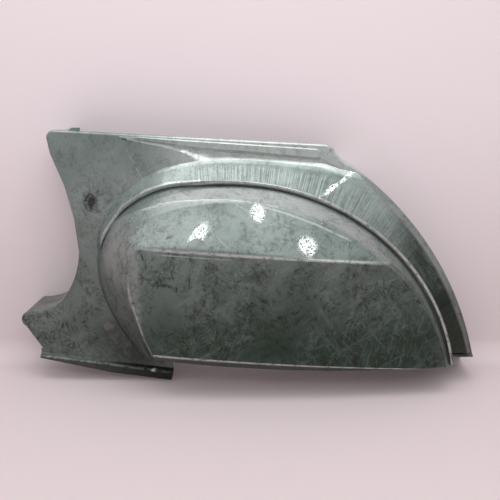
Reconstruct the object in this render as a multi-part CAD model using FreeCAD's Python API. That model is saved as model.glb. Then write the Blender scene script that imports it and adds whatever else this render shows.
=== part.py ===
import FreeCAD, Part
import os
from math import atan2, cos, hypot, radians, sin, sqrt, tan

os.makedirs("parts", exist_ok=True)

# Side panel of a scooter's pressed steel body, left-hand side, one piece of sheet.
# X runs from the footwell to the tail, Z is up and the outer face looks along -Y.
# Y = 0 is the middle plane of the body, where the panel meets its opposite half.
# The origin is on the joint flange, at the waist of the front edge.
# A height on the panel is counted outwards from its flat plate.

# Sheet and depth
sheet = 1.2
half_width = 95.0
fold_radius = 4.0

# Outline of the flat plate
front_top_x = -47.0
front_top_z = 199.0
top_fall = 2.9
top_back_x = 406.0
corner_radius = 13.0
kink_x = 437.0
kink_z = 148.0
kink_run = 12.0
outer_arc_x = 121.0
outer_arc_z = -325.0
outer_arc_radius = 571.5
tip_x = -112.0
tip_z = -119.0
horn_depth = 18.0
sole_x = -76.0
sole_z = -184.0
sole_fall = 7.7

# Arched band round the pod
arch_x = 254.0
arch_top_z = 119.0
arch_radius = 386.0
arch_z = arch_top_z - arch_radius
arch_height = 30.0
arch_step = 8.0
ridge_width = 3.5
ridge_drop = 6.0
step_floor = 2.5
edge_slope = 52.0

# Pod
pod_height = 88.0
pod_apex_x = 270.0
pod_tail_x = 614.0
pod_tail_height = 60.0
crease_z = 10.5
crease_fall = 3.8
bevel_lean = 12.0
crease_radius = 3.0
crease_angle = 18.0
pod_spare = 12.0

# Open lower edge of the pod, and of the band at the tail
facet_left_z = -138.0
facet_middle_z = -168.7
facet_right_z = -137.4
facet_lean = 38.0
rim_left_z = -153.0
rim_middle_z = -180.0
rim_right_z = -167.9
rim_left_x = 60.0
rim_middle_x = 370.0
rim_right_x = 700.0
rim_fall = 20.0
tail_top_z = -171.0
tail_z = -186.0
tail_fall = 23.3
tail_reach = 27.0
tail_wall_drop = 7.0

# Pressings under the top edge: a tapered rib above a shallow recess
recess_depth = 3.0
rib_height = 2.0
rib_end_x = 391.0
rib_end_z = 161.0
rib_end_radius = 8.0

# Flanges, lips and tab
top_flange = 20.0
sole_flange = 14.0
joint_flange = 12.0
lip_proud = 8.0
lip_drop = 5.0
lip_hang = 14.0
lip_start = 6.0
lip_length = 231.0
lip_front_hang = 8.2
lip_taper = 12.6
lip_taper_x = 55.0
lip_corner_width = 3.7
lip_corner_height = 10.4
tail_lip_proud = 3.0
tail_lip_drop = 1.5
tail_lip_hang = 4.0
tail_lip_rise = 9.0
tail_lip_height = 21.0
tail_lip_lean = 16.0
tail_lip_gap = 2.5
tab_x = -9.0
tab_length = 26.0
tab_height = 3.0

# How far a cutting or hidden surface runs past the sheet
beyond = 60.0
wall_clear = 28.0


def at(x, z, height=0.0):
    """A point of the panel at a height outwards from its plate."""
    return FreeCAD.Vector(x, -(half_width + height), z)


def smooth_edge(points):
    """A smooth curve drawn along the points without passing its turns."""
    curve = Part.BSplineCurve()
    curve.buildFromPoles(points, False, 3)
    return curve.toShape()


def closed_below(edge, height):
    """A closed wire: the arch of an edge and a straight base under its two ends."""
    first = edge.Vertexes[0].Point
    last = edge.Vertexes[-1].Point
    base_z = sole_z - 3 * beyond
    low_first = at(first.x, base_z, height)
    low_last = at(last.x, base_z, height)
    base = [Part.makeLine(last, low_last), Part.makeLine(low_last, low_first)]
    return Part.Wire([edge] + base + [Part.makeLine(low_first, first)])


def flank(rows, base, level, inset=0.0):
    """A solid under a sloping wall, carried down to base and up to level.

    Each row holds a low and a high point of the wall, as x, z and height.
    inset moves the wall into the solid by that distance, square to its slope.
    """
    wires = []
    for height in (base, level):
        points = []
        for (x0, z0, low), (x1, z1, high) in rows:
            run = hypot(x1 - x0, z1 - z0)
            rise = high - low
            along = (height - low) / rise + inset * hypot(run, rise) / rise / run
            points.append(at(x0 + (x1 - x0) * along, z0 + (z1 - z0) * along, height))
        wires.append(closed_below(smooth_edge(points), height))
    return Part.makeLoft(wires, True, True)


def on_circle(x, z, radius, angle):
    return (x + radius * cos(radians(angle)), z + radius * sin(radians(angle)))


def on_arch(inwards, step):
    """A point inside the ridge line, at a step round the arch from its top."""
    turn = radians(arch_step)
    radius = (arch_radius - inwards) * 3 / (2 + cos(turn))
    return on_circle(arch_x, arch_z, radius, 90 - arch_step * step)


def outer_edge(inset=0.0):
    """The plate's outline as a face, moved inwards by inset, with its base run out below."""
    top_back_z = front_top_z - (top_back_x - front_top_x) * tan(radians(top_fall))
    base_z = sole_z - 2 * beyond
    arc_end_x = outer_arc_x + sqrt(outer_arc_radius ** 2 - (base_z - outer_arc_z) ** 2)
    arc_start_x = kink_x + kink_run
    arc_start = (arc_start_x, outer_arc_z + sqrt(outer_arc_radius ** 2 - (arc_start_x - outer_arc_x) ** 2))
    middle = on_circle(outer_arc_x, outer_arc_z, outer_arc_radius, 30)

    shoulder = (front_top_x + 4, front_top_z - 38)
    front_bow = (-15.5, 78.5)
    waist = (-joint_flange / 2, -4)
    throat_bow = (-17.5, -52)
    throat = (-40, -90)
    horn_bow = (-64, -104.2)
    horn_top = (tip_x + 10, tip_z + 8)
    horn_low = (tip_x + 6, tip_z - horn_depth)
    tip = Part.Arc(at(*horn_top), at(tip_x, tip_z), at(*horn_low))

    corner_low = (front_top_x, front_top_z - corner_radius)
    corner = on_circle(front_top_x + corner_radius, front_top_z - corner_radius, corner_radius, 132)
    corner_high = (front_top_x + corner_radius, front_top_z - 0.3)
    end_turn = on_circle(top_back_x, top_back_z - corner_radius, corner_radius, 55)
    end_low = (top_back_x + 17, top_back_z - 14)
    edges = [
        Part.LineSegment(at(*shoulder), at(*corner_low)),
        Part.Arc(at(*corner_low), at(*corner), at(*corner_high)),
        Part.LineSegment(at(*corner_high), at(top_back_x, top_back_z)),
        Part.Arc(at(top_back_x, top_back_z), at(*end_turn), at(*end_low)),
        Part.LineSegment(at(*end_low), at(kink_x, kink_z)),
        Part.LineSegment(at(kink_x, kink_z), at(*arc_start)),
        Part.Arc(at(*arc_start), at(*middle), at(arc_end_x, base_z)),
        Part.LineSegment(at(arc_end_x, base_z), at(sole_x, base_z)),
        Part.LineSegment(at(sole_x, base_z), at(sole_x, sole_z)),
        Part.LineSegment(at(sole_x, sole_z), at(*horn_low)),
        tip,
        Part.Arc(at(*horn_top), at(*horn_bow), at(*throat)),
        Part.Arc(at(*throat), at(*throat_bow), at(*waist)),
        Part.Arc(at(*waist), at(*front_bow), at(*shoulder)),
    ]
    wire = Part.Wire(Part.__sortEdges__([edge.toShape() for edge in edges]))
    face = Part.Face(wire)
    if inset:
        face = Part.Face(face.OuterWire.makeOffset2D(-inset))
    return face


def prism(points, near, far):
    """A block with the given XZ corners between two heights."""
    wire = Part.makePolygon([at(x, z, near) for x, z in points + points[:1]])
    return Part.Face(wire).extrude(at(0, 0, far) - at(0, 0, near))


def slab_under(curve, lean=0.0):
    """Everything behind a curve of the plan view, carried up and down at a lean from upright."""
    first = curve.Vertexes[0].Point
    last = curve.Vertexes[-1].Point
    back = FreeCAD.Vector(0, 2 * half_width + beyond, 0)
    sides = [Part.makeLine(last, last + back), Part.makeLine(last + back, first + back)]
    face = Part.Face(Part.Wire([curve] + sides + [Part.makeLine(first + back, first)]))
    reach = 8 * beyond
    up = FreeCAD.Vector(0, sin(radians(lean)), cos(radians(lean))) * reach
    face.translate(-up)
    return face.extrude(up * 2)


def band_rows():
    """Foot and ridge of the arched band, from under the pod round to below the tail."""
    rows = [
        ((110, -215, 0), (116, -217, 4)),
        ((60, -120, 0), (66, -122, 4)),
        ((32, -35, 0), (38, -37, 4)),
        ((25, 6, 0), (28.5, 3, 4)),
        ((27.5, 33.5, 0), (38.5, 27, 12)),
        ((42.5, 58.5, 0), (53.5, 49, 16)),
        ((65.5, 91.5, 0), (76, 78.5, 20)),
        ((107, 122.5, 0), (114.5, 103.5, 24)),
        ((150, 141, 0), (153.5, 116, 27)),
        ((202, 151, 0), (204, 119.7, 29)),
    ]
    runs = (33, 34, 40, 55, 70, 66, 58, 53, 51, 51, 50, 49, 48)
    for step, run in enumerate(runs):
        height = arch_height - max(0, step - 5)
        rows.append(((*on_arch(-run, step), 0), (*on_arch(0, step), height)))
    return rows


def band(inset=0.0):
    """The band that rises round the pod like the edge of a mudguard."""
    rows = band_rows()
    slope = flank(rows, -recess_depth - 2 * sheet, arch_height + ridge_drop, inset)

    heights = [(-beyond, -70), (5, -15), (28.5, 5), (38.5, 12.5), (53.5, 16.5), (76, 20.3), (114, 24.2)]
    heights += [(154, 27), (204, 29), (254, 30), (330, 30.3), (410, 30.3), (480, 30), (540, 28.7)]
    heights += [(590, 27), (625, 25.3), (650, 23.5), (760, 12)]
    crown = smooth_edge([at(x, 0, height - inset) for x, height in heights])
    top = slab_under(crown)

    reach = 2 * arch_height
    spread = reach / tan(radians(edge_slope))
    radius = outer_arc_radius - fold_radius - inset / sin(radians(edge_slope))
    edge = Part.makeCone(radius + spread, radius - spread, 2 * reach,
                         at(outer_arc_x, outer_arc_z, -reach), FreeCAD.Vector(0, -1, 0))

    inner = []
    for (x0, z0, low), (x1, z1, high) in rows:
        along = (ridge_width - inset) / hypot(x1 - x0, z1 - z0)
        inner.append(at(x1 + (x1 - x0) * along, z1 + (z1 - z0) * along, -reach))
    well = Part.Face(closed_below(smooth_edge(inner), -reach)).extrude(FreeCAD.Vector(0, -3 * reach, 0))
    floor = slab_under(crown)
    floor.translate(FreeCAD.Vector(0, ridge_drop, 0))
    return slope.common(top).common(edge).cut(well.cut(floor))


def pod_wall(inset=0.0):
    """The pod's steep upper and rear wall, from the step inside the ridge to the top crease."""
    rows = [
        ((20, -230, 0), (30, -232, 20)),
        ((10, -90, 0), (20, -92, 20)),
        ((15, -20, 0), (25, -22, 20)),
        ((36, 27, 6), (40, 25, 16)),
        ((54, 50, 10), (58, 47, 22)),
        ((80, 76, 13), (85, 71, 28)),
        ((117, 99, 17), (121, 88, 38)),
        ((154, 111, 20), (154, 94, 46)),
        ((204, 114, 22), (205, 94, 55)),
    ]
    tops = [(28, 58), (31, 60), (33, 61), (32, 63), (30, 66), (28, 71), (25, 72), (24, 69), (23, 66)]
    tops += [(21, 62.5), (19, 60), (17, 57), (16, 54)]
    foot = ridge_width + step_floor
    for step, (inwards, height) in enumerate(tops):
        low = arch_height - ridge_drop - max(0, step - 5)
        rows.append(((*on_arch(foot, step), low), (*on_arch(inwards, step), height)))
    return flank(rows, 0, pod_height + pod_spare, inset)


def pod_skirt(inset=0.0):
    """The pod's sloping front side, turned over the top into its slanted upper face."""
    rows = [
        ((118, -240, 0), (150, -218, 85)),
        ((94, -190, 0), (135, -165, 84)),
        ((67, -156, 0), (114, -132, 83)),
        ((41, -108, 0), (101, -87, 82)),
        ((25, -58, 0), (91, -45, 82)),
        ((23, -15, 0), (90, -12, 82)),
        ((34, 28, 0), (98, 10, 83)),
        ((55, 80, 0), (110, 18, 84)),
        ((95, 155, 0), (130, 23, 84)),
        ((160, 212, 0), (162, 24.5, 84)),
        ((230, 225, 0), (230, 23, 85.5)),
        ((300, 226, 0), (300, 18, 86)),
        ((370, 214, 0), (370, 11, 83.5)),
        ((440, 201, 0), (440, 3.5, 79)),
        ((510, 180, 0), (510, -1, 74)),
        ((580, 160, 0), (580, -10, 66)),
        ((650, 130, 0), (650, -20, 56)),
    ]
    return flank(rows, 0, pod_height + pod_spare, inset)


def creases(block):
    """The pod's edges where two walls meet at a clear angle, above the step in the band."""
    found = []
    for edge in block.Edges:
        middle = edge.valueAt((edge.FirstParameter + edge.LastParameter) / 2)
        normals = []
        for face in block.ancestorsOfType(edge, Part.Face):
            normals.append(face.normalAt(*face.Surface.parameter(middle)))
        clear = len(normals) == 2 and normals[0].getAngle(normals[1]) > radians(crease_angle)
        if clear and -middle.y > half_width + arch_height / 2 and edge.BoundBox.ZMax > sole_z:
            found.append(edge)
    return found


def pod(inset=0.0):
    """The bulge inside the band, with a flat face below its crease and a slanted one above."""
    drop = pod_height - pod_tail_height
    radius = ((pod_tail_x - pod_apex_x) ** 2 + drop ** 2) / (2 * drop)
    reach = pod_tail_x - pod_apex_x + 2 * beyond
    sag = radius - sqrt(radius ** 2 - reach ** 2)
    block = pod_wall(inset).common(pod_skirt(inset))
    for lean in (0.0, bevel_lean):
        height = pod_height - inset / cos(radians(lean))
        left = at(pod_apex_x - reach, crease_z, height - sag)
        right = at(pod_apex_x + reach, crease_z, height - sag)
        face = slab_under(Part.Arc(left, at(pod_apex_x, crease_z, height), right).toShape(), lean)
        face.rotate(at(pod_apex_x, crease_z, pod_height), FreeCAD.Vector(0, 1, 0), crease_fall)
        block = block.common(face)
    return block.makeFillet(crease_radius - inset, creases(block))


def sections(shapes):
    """A solid through flat sections that stand square to X, each a list of its Z and height."""
    wires = []
    for x, corners in shapes:
        points = [at(x, z, height) for z, height in corners]
        wires.append(Part.makePolygon(points + points[:1]))
    return Part.makeLoft(wires, True, True)


def recess(inset=0.0):
    """The shallow recess below the rib: a flat floor and a slope up to the plate along its lower side."""
    rows = [
        (76, 186.6, 184.4, 183.6),
        (90, 184.6, 181, 180),
        (121, 183.5, 175.6, 174),
        (168, 178.5, 168.6, 166),
        (180, 177, 165, 160),
        (200, 175, 159.5, 150.5),
        (214, 173.5, 154, 146),
        (240, 171, 140, 134),
        (330, 163, 130, 124),
        (400, 154, 122, 116),
        (436, 134, 127, 124),
    ]
    floor = -recess_depth - inset
    shapes = []
    for x, high, low, rim in rows:
        slope = (low - rim) / recess_depth
        shift = inset * tan(atan2(1, slope) / 2)
        top = rim - shift - slope * (sheet + inset)
        far = high + shift
        shapes.append((x, [(far, floor), (low - shift, floor), (top, sheet), (far, sheet)]))
    return sections(shapes)


def rib(inset=0.0):
    """The tapered rib that stands out of the plate and ends in a round."""
    rows = [
        (72, 186.2, 188.4, 0.4),
        (106, 181.8, 187.9, 1.5),
        (154, 175.2, 184.7, rib_height),
        (203, 169, 181.5, rib_height),
        (276, 163.6, 176.7, rib_height),
        (rib_end_x, rib_end_z - rib_end_radius, rib_end_z + rib_end_radius, rib_height),
    ]
    drop = recess_depth + sheet
    base = -inset - drop - sheet
    shift = inset * tan(radians(45) / 2)
    shapes = []
    for x, low, high, height in rows:
        low += shift
        high -= shift
        corners = [(high, base), (low - drop, base), (low - drop, -inset - drop)]
        corners += [(low + height, height - inset), (high - height, height - inset), (high, -inset)]
        shapes.append((x, corners))
    radius = rib_end_radius - shift
    end = Part.makeCone(radius + drop, radius - rib_height, drop + rib_height,
                        at(rib_end_x, rib_end_z, -inset - drop), FreeCAD.Vector(0, -1, 0))
    return sections(shapes).fuse(end)


def plate(inset=0.0, back=0.0):
    """The flat of the panel with its walls, as a block back to the middle plane."""
    front = -(half_width - inset)
    face = outer_edge(inset)
    face.translate(FreeCAD.Vector(0, half_width - back, 0))
    block = face.extrude(FreeCAD.Vector(0, front + back, 0))
    folds = []
    for edge in block.Edges:
        box = edge.BoundBox
        if abs(box.YMin - front) < 0.01 and box.YLength < 0.01 and box.ZMax > sole_z + 1:
            folds.append(edge)
    block = block.makeFillet(fold_radius - inset, folds)
    return block.cut(recess(inset)).fuse(rib(inset))


def undercut(front, slope):
    """What lies below an edge seen from the front and the slope running back from it."""
    first = front.Vertexes[0].Point
    last = front.Vertexes[-1].Point
    floor = FreeCAD.Vector(0, 0, 4 * sole_z)
    sides = [Part.makeLine(last, last + floor), Part.makeLine(last + floor, first + floor)]
    face = Part.Face(Part.Wire([front] + sides + [Part.makeLine(first + floor, first)]))
    back = FreeCAD.Vector(0, 1, -tan(radians(slope)))
    face.translate(back * -(pod_height + beyond))
    return face.extrude(back * 2 * (half_width + pod_height + beyond))


def rim_line(left_z, middle_z, right_z, lift=0.0):
    """The gentle arc of the pod's lower edge, drawn at the height of its face."""
    left = at(rim_left_x, left_z + lift, pod_height)
    middle = at(rim_middle_x, middle_z + lift, pod_height)
    return Part.Arc(left, middle, at(rim_right_x, right_z + lift, pod_height)).toShape()


def plug(inset=0.0, back=0.0):
    """The whole panel as a solid block, its outer skin moved in by inset."""
    lift = inset / sin(radians(facet_lean))
    facet = undercut(rim_line(facet_left_z, facet_middle_z, facet_right_z, lift), 90 - facet_lean)
    return plate(inset, back).fuse(band(inset)).fuse(pod(inset).cut(facet))


def ridge_x(z):
    """Where the top of the ridge passes a height, on the tail side."""
    radius = arch_radius - ridge_width / 5
    return arch_x + sqrt(radius ** 2 - (z - arch_z) ** 2)


def foot_line(x):
    """Where the lower edge of the plate lies, which falls towards the tail."""
    return sole_z - (x - sole_x) * tan(radians(sole_fall))


def open_below(skin):
    """The skin cut open underneath: along the sole, round the pod's lower edge and at the tail."""
    mouth_x = sole_x - lip_start + lip_length
    low = 4 * sole_z
    end_x = rim_right_x + 2 * beyond
    line = [(ridge_x(z), z) for z in (tail_top_z + tail_reach, tail_top_z, tail_top_z - tail_reach)]
    aside = [(line[2][0], low), (end_x, low), (end_x, line[0][1])]
    tail_side = prism(line + aside, 2 * pod_height, -2 * half_width)
    rim = undercut(rim_line(rim_left_z, rim_middle_z, rim_right_z), rim_fall).cut(tail_side)
    left = rim_left_x - beyond
    ahead = [(mouth_x, -beyond), (mouth_x, low), (left, low), (left, -beyond)]
    skin = skin.cut(rim.cut(prism(ahead, 0, -2 * half_width)))
    skin = skin.fuse(rim.common(prism(ahead, 0, -sheet)))

    start_x = sole_x - beyond
    sole = [(start_x, foot_line(start_x)), (mouth_x, foot_line(mouth_x)), (mouth_x, low), (start_x, low)]
    skin = skin.cut(prism(sole, pod_height + beyond, -half_width - beyond))

    tail = undercut(Part.makeLine(at(mouth_x, tail_z), at(end_x, tail_z)), tail_fall)
    wall = prism([(mouth_x, 0), (end_x, 0), (end_x, low), (mouth_x, low)], -fold_radius, -2 * half_width)
    skin = skin.cut(tail.common(tail_side).cut(wall))
    tail.translate(FreeCAD.Vector(0, 0, -tail_wall_drop))
    return skin.cut(tail.common(tail_side))


def joggle(start, run, up, proud, drop, hang):
    """A lip along an edge: a ledge set outwards, then a short hang."""
    fold = sheet * (hypot(proud, drop) - drop) / proud
    bottom = -drop - hang
    outside = [(0, hang / 2), (0, 0), (proud, -drop), (proud, bottom)]
    inside = [(proud - sheet, bottom), (proud - sheet, -drop - fold), (-sheet, -fold), (-sheet, hang / 2)]
    outwards = run.cross(up).normalize()
    corners = [start + outwards * out + up * rise for out, rise in outside + inside]
    return Part.Face(Part.makePolygon(corners + corners[:1])).extrude(run)


def sole_lip():
    """The joggled lip along the foot of the plate, cut to a taper at its front end."""
    left = sole_x - lip_start
    left_z = foot_line(left)
    right = left + lip_length
    run = FreeCAD.Vector(lip_length, 0, -lip_length * tan(radians(sole_fall)))
    strip = joggle(at(left, left_z), run, FreeCAD.Vector(0, 0, 1), lip_proud, lip_drop, lip_hang)
    slope = tan(radians(lip_taper))
    front_x = left - wall_clear
    low = 2 * sole_z
    line = [(x, left_z - lip_front_hang - (x - left) * slope) for x in (front_x, lip_taper_x)]
    taper = prism(line + [(lip_taper_x, low), (front_x, low)], -beyond, beyond)
    end_z = foot_line(right) - lip_drop - lip_hang
    corner_low = end_z - lip_corner_height
    corner_high = end_z + lip_corner_height
    cut_line = [(right, corner_high), (right - 2 * lip_corner_width, corner_low)]
    aside = [(right + wall_clear, corner_low), (right + wall_clear, corner_high)]
    return strip.cut(taper).cut(prism(cut_line + aside, -beyond, beyond))


def tail_lip():
    """The small lip that stiffens the lower end of the band."""
    start_z = tail_z + tail_lip_rise
    start = at(ridge_x(start_z) + tail_lip_gap, start_z, tail_lip_height)
    edge_x = outer_arc_x + sqrt(outer_arc_radius ** 2 - (tail_z - outer_arc_z) ** 2)
    run = at(edge_x - tail_lip_proud, tail_z, sheet) - start
    up = FreeCAD.Vector(-sin(radians(tail_lip_lean)), 0, cos(radians(tail_lip_lean)))
    return joggle(start, run, up, tail_lip_proud, tail_lip_drop, tail_lip_hang)


def top_tab():
    """A small tapered tab that stands up at the back of the top flange."""
    right = tab_x + tab_length / 2
    low = front_top_z - fold_radius - 2 * sheet
    high = front_top_z + tab_height
    points = [(right - tab_length, low), (tab_x, high), (right, high), (right, low)]
    height = -top_flange
    return prism(points, height, height + sheet)


def panel():
    """The panel as one sheet: the block less what lies inside its skin, cut open and trimmed."""
    skin = plug().cut(plug(sheet, sheet))
    mouth = outer_edge(joint_flange)
    mouth.translate(FreeCAD.Vector(0, half_width + 1, 0))
    skin = skin.cut(mouth.extrude(FreeCAD.Vector(0, -3 * sheet, 0)))

    top_back_z = front_top_z - (top_back_x - front_top_x) * tan(radians(top_fall))
    start_x = front_top_x + 2 * corner_radius
    end_x = kink_x - fold_radius
    top_gap = [(start_x, front_top_z - wall_clear), (top_back_x, top_back_z - wall_clear)]
    top_gap += [(end_x, kink_z - fold_radius), (end_x, top_back_z + wall_clear)]
    top_gap.append((start_x, front_top_z + wall_clear))
    skin = skin.cut(prism(top_gap, -top_flange, -2 * half_width))
    left = tip_x - wall_clear
    right = sole_x + corner_radius
    high = tip_z - horn_depth - fold_radius
    low = sole_z - corner_radius
    sole_gap = [(left, high), (right, high), (right, low), (left, low)]
    skin = skin.cut(prism(sole_gap, -sole_flange, -2 * half_width))
    skin = open_below(skin)
    return skin.fuse(sole_lip()).fuse(tail_lip()).fuse(top_tab()).removeSplitter()


shape = panel()
shape.exportStep("parts/side_panel.step")
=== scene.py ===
import math

import bmesh
import bpy
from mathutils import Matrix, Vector


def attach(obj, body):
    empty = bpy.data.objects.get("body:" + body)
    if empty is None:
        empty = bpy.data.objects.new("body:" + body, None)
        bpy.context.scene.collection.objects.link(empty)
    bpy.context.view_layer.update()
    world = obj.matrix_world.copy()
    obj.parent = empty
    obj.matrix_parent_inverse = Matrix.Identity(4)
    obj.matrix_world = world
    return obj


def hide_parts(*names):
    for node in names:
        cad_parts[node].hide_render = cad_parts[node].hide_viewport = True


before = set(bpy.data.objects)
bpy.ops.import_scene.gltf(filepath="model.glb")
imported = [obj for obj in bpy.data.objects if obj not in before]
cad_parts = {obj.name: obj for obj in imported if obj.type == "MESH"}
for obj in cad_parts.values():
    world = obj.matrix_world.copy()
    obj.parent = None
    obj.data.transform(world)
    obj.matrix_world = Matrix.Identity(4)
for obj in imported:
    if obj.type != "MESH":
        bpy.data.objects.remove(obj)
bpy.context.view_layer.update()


# The side panel: one sheet of 1.2 mm bare steel, drawn in a press and trimmed, with its
# bands, creases and lips all folded in the same metal. The pressed shape comes from the
# frame; here its loose triangles are merged so that the drawn curves shade smoothly.

def redraw_fold(mesh, gathered):
    """Draw the shoulder's fold as an arc on each skin, in place of one vertex."""
    mesh.edges.index_update()
    loose = sorted({edge for face in gathered.link_faces for edge in face.edges
                    if gathered not in edge.verts}, key=lambda edge: edge.index)
    bmesh.ops.delete(mesh, geom=[gathered], context="VERTS")
    rims = []
    while loose:
        rim = []
        found = [loose[0]]
        while found:
            rim += found
            loose = [edge for edge in loose if edge not in found]
            ends = {vert for edge in rim for vert in edge.verts}
            found = [edge for edge in loose if any(vert in ends for vert in edge.verts)]
        rims.append(rim)

    centre = Vector((-0.03914, -0.091, 0.16206))
    outward = Vector((-0.964, 0.0, -0.266))
    steps = 10
    # the fillet is whole below the first of these heights and above the second
    fan_heights = ((0.107, 0.109), (0.1855, 0.187))
    fan_back = -0.0905
    for rim in rims:
        fold = max(-vert.co.y for edge in rim for vert in edge.verts) + centre.y
        arc = []
        for step in range(steps + 1):
            angle = math.radians(90 * step / steps)
            arc.append(mesh.verts.new(centre + outward * (math.cos(angle) * fold)
                                      - Vector((0.0, math.sin(angle) * fold, 0.0))))
        arc_edges = [mesh.edges.new(pair) for pair in zip(arc, arc[1:])]
        for low, high in fan_heights:
            ring = [edge for edge in rim if all(low < vert.co.z < high and vert.co.y < fan_back
                                                and vert.co.x < 0.0 for vert in edge.verts)]
            bmesh.ops.bridge_loops(mesh, edges=ring + arc_edges)

    open_edges = [edge for edge in mesh.edges if edge.is_boundary]
    filled = bmesh.ops.holes_fill(mesh, edges=open_edges, sides=0)["faces"]
    bmesh.ops.triangulate(mesh, faces=filled)


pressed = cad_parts["side_panel"]
sheet_mesh = pressed.data.copy()
sheet_mesh.name = "steel_side_panel"
same_vertex = 0.00002
work = bmesh.new()
work.from_mesh(sheet_mesh)
bmesh.ops.remove_doubles(work, verts=work.verts, dist=same_vertex)

# the frame's triangles gather in one point where both skins fold back at the front edge's
# shoulder; where that is so, the fold is drawn again on the copy
shoulder = Vector((-0.0408, -0.0927, 0.1617))
same_place = 0.0002
many_faces = 50
nearest = min(work.verts, key=lambda vert: (vert.co - shoulder).length)
if (nearest.co - shoulder).length < same_place and len(nearest.link_faces) > many_faces:
    redraw_fold(work, nearest)

crease_angle = math.radians(24)
for face in work.faces:
    face.smooth = True
for edge in work.edges:
    edge.smooth = edge.is_manifold and edge.calc_face_angle(0.0) < crease_angle
work.to_mesh(sheet_mesh)
work.free()
sheet_mesh.materials.clear()
panel = bpy.data.objects.new("steel_side_panel", sheet_mesh)
bpy.context.scene.collection.objects.link(panel)
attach(panel, "root")
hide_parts("side_panel")
even = panel.modifiers.new("even_shading", "WEIGHTED_NORMAL")
even.keep_sharp = True


class Tone:
    """A value, colour or vector in a material, for use in plain sums."""

    def __init__(self, recipe, socket):
        self.recipe = recipe
        self.socket = socket

    def maths(self, operation, *others):
        return self.recipe.add("ShaderNodeMath", {"operation": operation},
                               dict(enumerate((self,) + others)))

    def __add__(self, other):
        return self.maths("ADD", other)

    __radd__ = __add__

    def __mul__(self, other):
        return self.maths("MULTIPLY", other)

    __rmul__ = __mul__

    def __sub__(self, other):
        return self.maths("SUBTRACT", other)

    def __rsub__(self, other):
        return (self * -1.0) + other

    def __truediv__(self, other):
        return self.maths("DIVIDE", other)

    def __pow__(self, other):
        return self.maths("POWER", other)

    def top(self, other):
        return self.maths("MAXIMUM", other)

    def least(self, other):
        return self.maths("MINIMUM", other)

    def size(self):
        return self.maths("ABSOLUTE")

    def fade(self, start, end):
        """0 where the value is start, 1 where it is end, eased between."""
        return self.recipe.add("ShaderNodeMapRange",
                               {"interpolation_type": "SMOOTHSTEP", "clamp": True},
                               {"Value": self, "From Min": start, "From Max": end})


class Recipe:
    """The nodes of a material or of the world."""

    def __init__(self, owner):
        owner.use_nodes = True
        self.nodes = owner.node_tree.nodes
        self.links = owner.node_tree.links
        self.nodes.clear()

    def add(self, kind, settings=None, inputs=None, output=0):
        made = self.nodes.new(kind)
        for key, value in (settings or {}).items():
            setattr(made, key, value)
        for key, value in (inputs or {}).items():
            if isinstance(value, Tone):
                self.links.new(value.socket, made.inputs[key])
            else:
                made.inputs[key].default_value = value
        return Tone(self, made.outputs[output]) if len(made.outputs) else None

    def share(self, vector, axis):
        """One coordinate of a vector."""
        return self.add("ShaderNodeSeparateXYZ", None, {0: vector}, axis)

    def mix(self, amount, low, high):
        """Colour low where amount is 0, high where it is 1."""
        first, second = (value if isinstance(value, Tone) else (*value, 1.0)
                         for value in (low, high))
        return self.add("ShaderNodeMix", {"data_type": "RGBA", "clamp_factor": True},
                        {0: amount, 6: first, 7: second}, 2)


steel_finish = bpy.data.materials.new("oiled_bare_steel")
sheet_mesh.materials.append(steel_finish)
steel = Recipe(steel_finish)
place = steel.add("ShaderNodeTexCoord", output="Object")
along = steel.share(place, "X")
outwards = steel.share(place, "Y") * -1.0
upwards = steel.share(place, "Z")
faces_towards = steel.add("ShaderNodeNewGeometry", output="Normal")
front_side = steel.share(faces_towards, "Y").fade(0.20, 0.02)


def noise(scale, detail, rough, where=None, twist=0.0):
    """Soft random patches, 0 to 1."""
    return steel.add("ShaderNodeTexNoise", None,
                     {"Vector": where or place, "Scale": scale, "Detail": detail,
                      "Roughness": rough, "Distortion": twist})


def drawn_out(length, lean):
    """The place on the sheet, drawn out along a line that leans by some degrees."""
    leaning = steel.add("ShaderNodeMapping", {"vector_type": "POINT"},
                        {"Vector": place, "Rotation": (0.0, math.radians(lean), 0.0)})
    return steel.add("ShaderNodeMapping", {"vector_type": "POINT"},
                     {"Vector": leaning, "Scale": (1.0 / length, 1.0, 1.0)})


def strongest(*marks):
    """The strongest of several marks at each place."""
    found = marks[0]
    for mark in marks[1:]:
        found = found.top(mark)
    return found


fine_mottle = noise(95.0, 4.0, 0.6)
cloud = noise(9.0, 3.0, 0.55)
swirl = noise(15.0, 7.0, 0.68, twist=1.6)
stain = noise(42.0, 5.0, 0.65, twist=0.9)
speckle = noise(300.0, 3.0, 0.7)


def spot(x, z, half_width, half_height, ragged=0.5):
    """1 at a place on the front of the sheet, ragged towards its rim."""
    across = (along - x) / half_width
    high = (upwards - z) / half_height
    reach = (across * across + high * high) ** 0.5
    return (reach + (fine_mottle - 0.5) * ragged).fade(1.1, 0.5) * front_side


def stroke(points, width):
    """1 along a line of straight runs on the front of the sheet."""
    runs = []
    for (x0, z0), (x1, z1) in zip(points, points[1:]):
        length = math.hypot(x1 - x0, z1 - z0)
        run_x = (x1 - x0) / length
        run_z = (z1 - z0) / length
        off_x = along - x0
        off_z = upwards - z0
        run = off_x * run_x + off_z * run_z
        side = (off_z * run_x - off_x * run_z).size()
        past = (run - length / 2).size() - length / 2
        runs.append((past.top(0.0) + side).fade(width, width * 0.35))
    return strongest(*runs) * front_side


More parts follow.
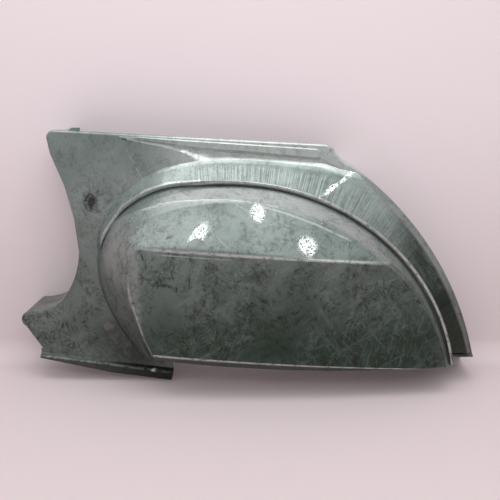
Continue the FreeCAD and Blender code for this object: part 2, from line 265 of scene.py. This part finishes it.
# the flat plate, the arched band, the ridge along its inner edge and the groove inside that
plate_y = 0.095
arch_x = 0.254
arch_z = -0.267
arch_radius = 0.386
ridge_inset = 0.0012
groove_inset = 0.0066
from_x = along - arch_x
from_z = upwards - arch_z
radius = (from_x * from_x + from_z * from_z) ** 0.5
past_ridge = radius - arch_radius
sweep = steel.add("ShaderNodeMath", {"operation": "ARCTAN2"}, {0: from_x, 1: from_z})
right_of_start = along.fade(0.17, 0.20) * front_side
raised = outwards.fade(plate_y + 0.006, plate_y + 0.012)
on_band = past_ridge.fade(-0.001, 0.003) * raised * right_of_start
ridge_start = stroke([(0.0285, 0.000), (0.0385, 0.027), (0.0535, 0.049), (0.076, 0.0785),
                      (0.1145, 0.1035), (0.1535, 0.116), (0.204, 0.1197)], 0.0028) * raised
ridge_arch = (past_ridge + ridge_inset).size().fade(0.0032, 0.0008) * right_of_start
ridge = ridge_arch.top(ridge_start)
groove = (past_ridge + groove_inset).size().fade(0.0040, 0.0014) * right_of_start

# the creases of the pod: across its middle, down its left end and under its top
crease_x = 0.270
crease_z = 0.0105
crease_slope = math.tan(math.radians(3.8))
crease_high = upwards + (along - crease_x) * crease_slope - crease_z
on_pod = outwards.fade(0.150, 0.160) * front_side
middle_crease = (crease_high.size().fade(0.0034, 0.0010) * on_pod * along.fade(0.10, 0.14)
                 * (1.0 - along.fade(0.44, 0.52) * 0.75))
second_line = ((crease_high + 0.0075).size().fade(0.0014, 0.0004) * on_pod
               * along.fade(0.13, 0.16) * along.fade(0.27, 0.22))
below_crease = crease_high.fade(0.003, -0.003) * on_pod
left_crease = (stroke([(0.103, 0.004), (0.0945, -0.012), (0.0915, -0.036), (0.0935, -0.062),
                       (0.101, -0.087), (0.114, -0.132), (0.126, -0.158)], 0.0034)
               * on_pod * upwards.fade(0.005, -0.070))
top_crease = stroke([(0.113, 0.076), (0.139, 0.083), (0.166, 0.088), (0.205, 0.0925),
                     (0.236, 0.092)], 0.0024)
top_crease_far = stroke([(0.290, 0.087), (0.339, 0.073), (0.386, 0.056), (0.441, 0.031)], 0.0020)

# the slanted facet along the pod's lower edge, and the crease where the face turns into it
pod_y = plate_y + 0.088
face_bulge = 0.2351
facet_slope = math.tan(math.radians(52))
facet_x = 0.3786
facet_z = 1.498
facet_radius = 1.6672
face_y = (along - crease_x) * (along - crease_x) * -face_bulge + pod_y
facet_across = along - facet_x
facet_rise = upwards + (pod_y - outwards) * facet_slope - facet_z
facet_line = (facet_across * facet_across + facet_rise * facet_rise) ** 0.5 - facet_radius
on_facet = facet_line.size().fade(0.0020, 0.0008) * outwards.fade(0.120, 0.140) * front_side
rim_crease = on_facet * (outwards - face_y).size().fade(0.0034, 0.0012)

# the joggled lip along the foot, and the recess and rib under the top edge
lip_x = -0.076
lip_z = -0.184
lip_slope = math.tan(math.radians(7.7))
foot_line = upwards + (along - lip_x) * lip_slope - lip_z
on_lip = foot_line.fade(0.0005, -0.0010) * along.fade(0.160, 0.156) * outwards.fade(0.125, 0.115)
lip_top_light = on_lip * (foot_line + 0.0050).size().fade(0.0022, 0.0008)
recess_highlight = stroke([(0.085, 0.184), (0.139, 0.174), (0.182, 0.1635)], 0.0030)
recess_glint = spot(0.205, 0.1545, 0.018, 0.0070, 0.9)
rib_top = strongest(stroke([(0.262, 0.1765), (0.311, 0.1735)], 0.0022),
                    stroke([(0.357, 0.1705), (0.385, 0.1690)], 0.0020))
rib_foot = stroke([(0.074, 0.188), (0.240, 0.1685), (0.390, 0.1545)], 0.0014)

# the metal itself: grey with a green cast, with painted light on the up-facing strip under the
# top edge and a painted sheen on the pod's upper wall, and darker towards the foot
darkening_top = 0.13
darkening_drop = 0.30
depth = ((upwards * -1.0 + darkening_top) / darkening_drop).top(0.0).least(1.0)
cast = (fine_mottle - 0.5) * 0.10 + cloud
bare = steel.mix(cast.fade(0.36, 0.66), (0.235, 0.288, 0.268), (0.345, 0.395, 0.375))
# painted light: the strip under the top edge faces up and is painted paler, and so is the pod's
# upper wall
lit_strip = (upwards.fade(0.110, 0.140) * along.fade(0.08, 0.22) * outwards.fade(0.102, 0.098)
             * front_side)
pod_wall_sheen = ((past_ridge + 0.0190).size().fade(0.0125, 0.0090) * along.fade(0.10, 0.16)
            * front_side)
paler = lit_strip.top(pod_wall_sheen * upwards.fade(-0.08, 0.04) * 0.75)
lit_bare = steel.mix(paler * 0.78, bare, (0.66, 0.72, 0.69))
# darker towards the foot
darker_low = steel.mix(depth * 0.75, lit_bare, (0.046, 0.062, 0.050))

# the pod's face is darker to the right and towards the foot, with painted light on its upper
# left, and a painted shadow falls on the plate under the pod's lower left corner
face_darkening = below_crease * (depth * 1.25 + (along - 0.25) * 0.55 - 0.22).top(0.0).least(1.0)
# painted light: the face's upper left, where it curves up, is painted paler
face_left_light = along.fade(0.26, 0.10) * upwards.fade(-0.15, -0.05)
face_tint = steel.mix(below_crease * 0.30, darker_low, (0.145, 0.200, 0.170))
face_paler = steel.mix(below_crease * face_left_light * 0.45, face_tint, (0.31, 0.375, 0.345))
face_dark = steel.mix(face_darkening, face_paler, (0.015, 0.034, 0.022))
# painted shadow of the pod on the plate under its lower left corner
corner_shadow = spot(0.085, -0.165, 0.090, 0.055, 0.3)
pod_shadowed = steel.mix(corner_shadow * outwards.fade(0.110, 0.100) * 0.9, face_dark,
                      (0.022, 0.026, 0.021))

# painted shade on the band's top, painted light on the pod's upper face and a painted reflection
# on its left wall, darker at the waist and foot, and painted shade on the band's tail
band_middle = 0.022
by_band = (past_ridge - band_middle).size().fade(0.027, 0.021) * right_of_start
# painted shade over the top of the band, where the soft box's reflection falls, stronger to the
# right
band_top_shade = (by_band * outwards.fade(plate_y + 0.0002, plate_y + 0.0020)
            * sweep.size().fade(0.62, 0.40))
band_shaded = steel.mix(band_top_shade * (along.fade(0.24, 0.32) * 0.30 + 0.34), pod_shadowed,
                       (0.12, 0.160, 0.145))
upper_face = crease_high.fade(0.000, 0.006) * past_ridge.fade(-0.020, -0.034) * on_pod
# painted light on the left of the pod's up-facing upper face; its right is darker
upper_face_lit = steel.mix(upper_face * along.fade(0.27, 0.15) * 0.34, band_shaded,
                       (0.56, 0.62, 0.59))
upper_right = steel.mix(upper_face * along.fade(0.30, 0.42) * 0.36, upper_face_lit,
                        (0.10, 0.13, 0.115))
# painted reflection of the pale backdrop on the pod's left wall
left_wall_reflection = raised * along.fade(0.116, 0.104) * upwards.fade(0.06, 0.02)
reflected_wall = steel.mix(left_wall_reflection * 0.35, upper_right, (0.38, 0.395, 0.385))
waist = along.fade(0.050, 0.020) * upwards.fade(-0.09, -0.05) * upwards.fade(0.08, 0.03)
foot_dark = spot(0.020, -0.145, 0.130, 0.050, 0.5) * 0.9
waisted = steel.mix(waist.top(foot_dark) * front_side * 0.34, reflected_wall, (0.085, 0.105, 0.095))
# painted shade on the band's tail, which turns away from the light
tail_shade = on_band * along.fade(0.49, 0.57)
shaded_tail = steel.mix(tail_shade * 0.98, waisted, (0.009, 0.014, 0.007))

# pale brushed films over it, and dark streaks of dried oil, drawn in fans
brushed = strongest(*(noise(scale, 3.0, 0.6, drawn_out(9.0, lean), 0.3).fade(0.50, 0.68)
                      for lean, scale in ((30.0, 130.0), (-52.0, 110.0), (74.0, 150.0))))
filmed = steel.mix(brushed * cloud.fade(0.42, 0.58) * (0.30 - depth * 0.14), shaded_tail,
                   (0.230, 0.325, 0.300))
streaks = strongest(*(noise(scale, 6.0, 0.73, drawn_out(3.4, lean), 0.35).fade(0.52, 0.65)
                      for lean, scale in ((38.0, 170.0), (-24.0, 200.0), (80.0, 185.0),
                                          (-66.0, 160.0))))
fans = swirl.fade(0.42, 0.58)
pooled = steel.mix(swirl.fade(0.54, 0.64) * below_crease * 0.40, filmed, (0.008, 0.022, 0.011))
stained = steel.mix(streaks * fans * (depth * 0.66 + 0.30 + below_crease * 0.22), pooled,
                    (0.009, 0.014, 0.004))
blotted = steel.mix(stain.fade(0.54, 0.70) * (depth * 0.35 + 0.25), stained,
                    (0.020, 0.031, 0.018))
specked = steel.mix(speckle.fade(0.60, 0.72) * 0.60, blotted, (0.018, 0.026, 0.016))

# fine scratches in four directions and a few long ones, all lighter than the oily film
scratches = strongest(*(noise(scale, 1.0, 0.5, drawn_out(38.0, lean)).fade(0.67, 0.74)
                        for lean, scale in ((22.0, 760.0), (64.0, 900.0), (-38.0, 820.0),
                                            (101.0, 1000.0)))) * cloud.fade(0.38, 0.60)
long_scratches = strongest(stroke([(0.083, 0.166), (0.108, 0.118)], 0.0011),
                           stroke([(0.262, 0.087), (0.318, 0.056)], 0.0010),
                           stroke([(0.209, 0.062), (0.252, 0.020)], 0.0010),
                           stroke([(0.238, 0.066), (0.205, 0.036)], 0.0012) * 0.7,
                           stroke([(0.222, 0.070), (0.178, 0.028)], 0.0016) * 0.5,
                           stroke([(0.354, 0.176), (0.354, 0.160)], 0.0012) * 0.8)
scratched = steel.mix(scratches * 0.17, specked, (0.34, 0.42, 0.39))
scored = steel.mix(long_scratches * fine_mottle.fade(0.38, 0.58) * 0.42, scratched,
                   (0.58, 0.63, 0.60))

# the band is hatched across its width by the draw of the press
around = steel.add("ShaderNodeCombineXYZ", None, {"X": sweep * 260.0, "Y": radius * 14.0})
hatch_lines = noise(1.0, 2.0, 0.6, around)
hatch = hatch_lines.fade(0.42, 0.64) * on_band * (1.0 - tail_shade * 0.9)
hatch_gap = hatch_lines.fade(0.50, 0.34) * on_band
hatch_dark = steel.mix(hatch_gap * 0.35, scored, (0.060, 0.075, 0.068))
hatched = steel.mix(hatch * 0.36, hatch_dark, (0.50, 0.54, 0.51))

# the black smudge by the front edge, smaller ones, one pale mark, and painted shade on the lip,
# deepest to the right under the pod, with painted light on its ledge and a painted glint
ragged_ink = fine_mottle.fade(0.30, 0.50)
smudges = strongest(spot(0.019, 0.083, 0.015, 0.020, 1.6),
                    spot(0.034, 0.096, 0.012, 0.006, 1.8) * 0.5,
                    spot(0.028, 0.066, 0.012, 0.004, 1.8) * 0.5,
                    spot(-0.076, -0.152, 0.010, 0.010, 1.4) * 0.45,
                    spot(0.458, -0.166, 0.010, 0.012, 1.2) * 0.8)
smudge_core = spot(0.022, 0.0815, 0.009, 0.012, 1.2)
smudged = steel.mix((smudges * ragged_ink).top(smudge_core) * 0.92, hatched,
                    (0.006, 0.007, 0.006))
pale_mark = spot(0.037, -0.136, 0.012, 0.008, 1.4)
marked = steel.mix(pale_mark * 0.25, smudged, (0.30, 0.26, 0.27))
lip_glint = spot(0.115, -0.215, 0.006, 0.003, 0.6)
# painted shade on the lip, deeper to the right under the pod
lip_shade = steel.mix(on_lip * (along.fade(-0.08, 0.14) * 0.35 + 0.60), marked,
                     (0.010, 0.014, 0.010))
# painted light on the up-facing ledge of the lip
ledge = steel.mix(lip_top_light * fine_mottle.fade(0.40, 0.6) * 0.35, lip_shade, (0.34, 0.36, 0.29))
# painted shade on the slanted facet along the pod's lower edge, which faces down
facet_shade = steel.mix(on_facet * 0.75, ledge, (0.030, 0.040, 0.033))

# painted highlights along each ridge and crease, a painted glint by the recess under the top
# edge, and painted shade in the groove
highlight_lines = strongest(ridge * 0.75, middle_crease * 0.8, second_line * 0.5, rim_crease * 0.8,
                       left_crease * 0.5, top_crease * 0.7, top_crease_far * 0.5, rib_top,
                       rib_foot * 0.6, lip_glint)
highlighted = steel.mix(highlight_lines * (fine_mottle.fade(0.34, 0.56) * 0.65 + 0.30), facet_shade,
                   (0.60, 0.63, 0.60))
# painted highlight and glint where the recess under the top edge turns up
recess_lit = steel.mix((recess_highlight * 0.7).top(recess_glint) * ragged_ink, highlighted,
                     (0.93, 0.96, 0.94))
# painted shade in the groove inside the ridge
shaded_groove = steel.mix(groove * 0.40, recess_lit, (0.110, 0.112, 0.100))

# painted light: the inner side is painted paler, where the backdrop keeps the lamps from it
inner_lightened = steel.mix((1.0 - front_side) * 0.55, shaded_groove, (0.44, 0.48, 0.455))

# a broken film of oil takes the glints, over small dents in the metal
roughness = (fine_mottle.fade(0.3, 0.7) * 0.10 + stain.fade(0.4, 0.7) * 0.10 + 0.30
             - highlight_lines * 0.08)
film_cells = steel.add("ShaderNodeTexVoronoi", None, {"Vector": place, "Scale": 300.0})
crackle = film_cells * 0.7 + noise(210.0, 3.0, 0.7, twist=1.0) * 0.9
oil = crackle.fade(0.64, 0.80) * cloud.fade(0.30, 0.50) * (1.0 - depth * 0.6)
height = noise(26.0, 3.0, 0.5) + fine_mottle * 0.30 + crackle * 0.10
bumped = steel.add("ShaderNodeBump", None, {"Strength": 0.35, "Distance": 0.0012,
                                            "Height": height})
surface = steel.add("ShaderNodeBsdfPrincipled", None, {
    "Base Color": inner_lightened, "Metallic": 0.70, "Roughness": roughness, "Coat Weight": oil,
    "Coat Roughness": 0.05, "Normal": bumped})
steel.add("ShaderNodeOutputMaterial", None, {"Surface": surface})


# The backdrop: one pale sweep that lies under the panel's foot and curves up close behind
# it, so the panel throws a thin shadow on it. Seen from behind it is clear, so that the
# hollow back of the panel shows. A pale table lies under it.

floor_z = -0.2355
board_y = 0.0025
curve_radius = 0.04
board_height = 2.6
front_y = -3.0
table_drop = 0.001


def stood(name, shape, finish):
    """A background object made from finished geometry."""
    mesh = bpy.data.meshes.new(name)
    shape.to_mesh(mesh)
    shape.free()
    mesh.materials.append(finish)
    made = bpy.data.objects.new(name, mesh)
    bpy.context.scene.collection.objects.link(made)


def extended(shape, edges, step):
    """The outer edges of a strip pulled on by a step."""
    pulled = bmesh.ops.extrude_edge_only(shape, edges=edges)["geom"]
    verts = [item for item in pulled if isinstance(item, bmesh.types.BMVert)]
    bmesh.ops.translate(shape, verts=verts, vec=step)
    return [item for item in pulled if isinstance(item, bmesh.types.BMEdge) and
            all(vert in verts for vert in item.verts)]


pale_board = bpy.data.materials.new("pale_board")
board = Recipe(pale_board)
board_place = board.add("ShaderNodeTexCoord", output="Object")
# painted shade: the board is painted darker towards its foot
board_shade = board.mix(board.share(board_place, "Z").fade(floor_z, 0.30),
                       (0.74, 0.64, 0.655), (0.90, 0.80, 0.825))
board_face = board.add("ShaderNodeBsdfDiffuse", None, {"Color": board_shade})
clear = board.add("ShaderNodeBsdfTransparent")
behind = board.add("ShaderNodeNewGeometry", output="Backfacing")
both = board.add("ShaderNodeMixShader", None, {0: behind, 1: board_face, 2: clear})
board.add("ShaderNodeOutputMaterial", None, {"Surface": both})

backdrop = bmesh.new()
front_line = [backdrop.verts.new((x, front_y, floor_z)) for x in (-3.0, 3.6)]
front_edge = backdrop.edges.new(front_line)
curve_y = board_y - curve_radius
edges = extended(backdrop, [front_edge], Vector((0.0, curve_y - front_y, 0.0)))
bent = bmesh.ops.spin(backdrop, geom=edges + [vert for edge in edges for vert in edge.verts],
                      cent=(0.0, curve_y, floor_z + curve_radius), axis=(1.0, 0.0, 0.0),
                      angle=math.radians(90), steps=16, use_duplicate=False)["geom_last"]
edges = [item for item in bent if isinstance(item, bmesh.types.BMEdge)]
extended(backdrop, edges, Vector((0.0, 0.0, board_height)))
bmesh.ops.reverse_faces(backdrop, faces=backdrop.faces)
for face in backdrop.faces:
    face.smooth = True
stood("backdrop", backdrop, pale_board)

pale_table = bpy.data.materials.new("pale_table")
table_top = Recipe(pale_table)
table_face = table_top.add("ShaderNodeBsdfDiffuse", None, {"Color": (0.62, 0.56, 0.575, 1.0)})
table_top.add("ShaderNodeOutputMaterial", None, {"Surface": table_face})
table = bmesh.new()
bmesh.ops.create_grid(table, x_segments=1, y_segments=1, size=4.0)
bmesh.ops.translate(table, verts=table.verts, vec=(0.28, 0.0, floor_z - table_drop))
stood("table", table, pale_table)


# The light: a wide soft box above, a row of small lamps further off for the glints on the
# oily metal, and an even room that is pale above and dimmer below.

glint_distance = 2.4


def lamp(name, shape, place_at, aim_at, width, height, watts):
    """A soft light that points at a place."""
    light = bpy.data.lights.new(name, "AREA")
    light.shape = shape
    light.size = width
    light.size_y = height
    light.energy = watts
    holder = bpy.data.objects.new(name, light)
    holder.location = place_at
    holder.rotation_mode = "QUATERNION"
    holder.rotation_quaternion = (Vector(aim_at) - Vector(place_at)).to_track_quat("-Z", "Y")
    bpy.context.scene.collection.objects.link(holder)


lamp("top_soft_box", "RECTANGLE", (0.16, -0.45, 1.25), (0.28, -0.05, 0.05), 1.5, 0.7, 6.5)
for name, seen_at, towards in (
        ("left_lamp", (0.201, -0.175, 0.034), (-0.11, -0.81, 0.57)),
        ("middle_lamp", (0.295, -0.157, 0.075), (0.09, -0.81, 0.58)),
        ("right_lamp", (0.368, -0.174, 0.021), (0.26, -0.82, 0.51)),
        ("far_right_lamp", (0.410, -0.117, 0.101), (0.40, -0.58, 0.71))):
    stand = Vector(seen_at) + Vector(towards).normalized() * glint_distance
    lamp(name, "ELLIPSE", stand, seen_at, 0.15, 0.12, 1.3)

world = bpy.data.worlds.new("room")
bpy.context.scene.world = world
room = Recipe(world)
direction = room.add("ShaderNodeTexCoord", output="Generated")
room_tone = room.mix(room.share(direction, "Z").fade(-0.30, 0.60),
                     (0.13, 0.14, 0.14), (0.86, 0.87, 0.88))
glow = room.add("ShaderNodeBackground", None, {"Color": room_tone})
room.add("ShaderNodeOutputWorld", None, {"Surface": glow})


# The camera looks down at the panel's outer face by 13 degrees, from about a metre away.

lens = bpy.data.cameras.new("camera")
lens.sensor_width = 36.0
lens.lens = 43.2
lens.clip_end = 50.0
camera = bpy.data.objects.new("camera", lens)
camera.location = (0.284, -1.0820, 0.2279)
camera.rotation_euler = (math.radians(77), 0.0, 0.0)
bpy.context.scene.collection.objects.link(camera)
bpy.context.scene.camera = camera
bpy.context.scene.view_settings.view_transform = "Standard"
